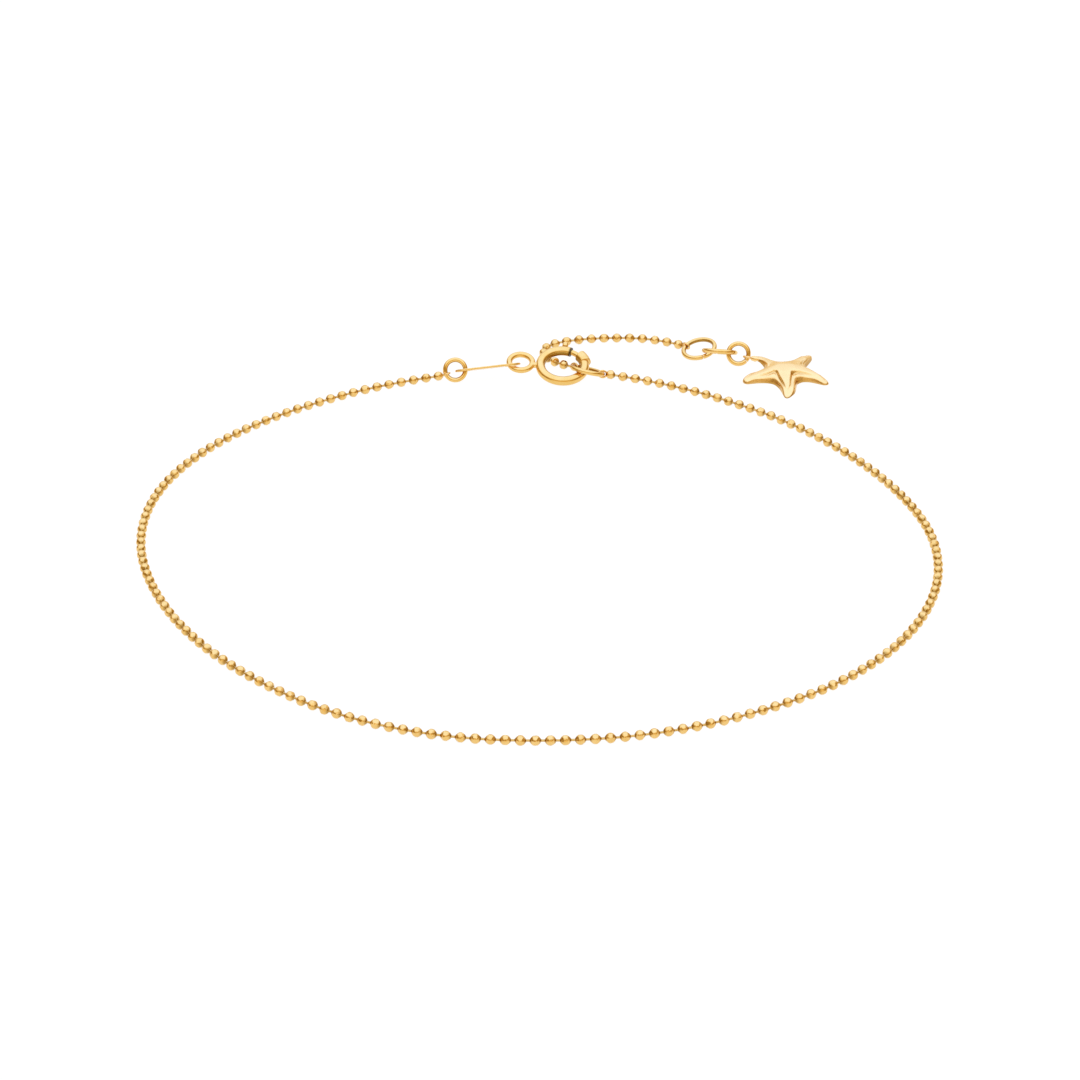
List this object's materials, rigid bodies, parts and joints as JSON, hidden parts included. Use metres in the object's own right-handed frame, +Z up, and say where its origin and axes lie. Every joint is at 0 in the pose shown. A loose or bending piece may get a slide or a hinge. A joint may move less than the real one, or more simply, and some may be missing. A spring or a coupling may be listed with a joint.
{
  "type": "chain anklet",
  "caption": "Fine bead-chain anklet lying as a round loop, closed by a spring-ring clasp, with a bare tag plate and an extension chain ending in a starfish charm.",
  "frame": {"origin": "centre of the bounding box in plan, on the surface that the anklet lies on", "axes": "+Z up out of the surface; +Y towards the clasp and the extension chain, along the longest side; +X towards the starfish charm"},
  "size_m": [0.0805, 0.089, 0.0026],
  "materials": {
    "chain_gold": "polished diamond-cut gold plate",
    "ring_gold": "polished gold plate",
    "clasp_gold": "polished gold plate",
    "tag_gold": "polished gold plate, bare",
    "satin_gold": "satin gold plate"
  },
  "bodies": {
    "anklet": {"main_chain": "chain_gold", "extension_chain": "chain_gold", "jump_ring": "ring_gold", "tag_plate": "tag_gold", "clasp_body": "clasp_gold", "end_ring": "ring_gold", "extension_ring": "ring_gold", "link_ring": "ring_gold", "charm_ring": "ring_gold", "starfish_charm": "satin_gold"},
    "bolt": {"clasp_bolt": "clasp_gold"}
  },
  "joints": [
    {"name": "clasp_trigger", "type": "hinge", "parent": "anklet", "child": "bolt", "pos_m": [0.0027, 0.03533, 0.00127], "axis": [0.0333, -0.299, 0.9537], "range_deg": [0, 36], "stiffness_Nm_per_rad": 0.003, "springref_deg": -17.19}
  ]
}
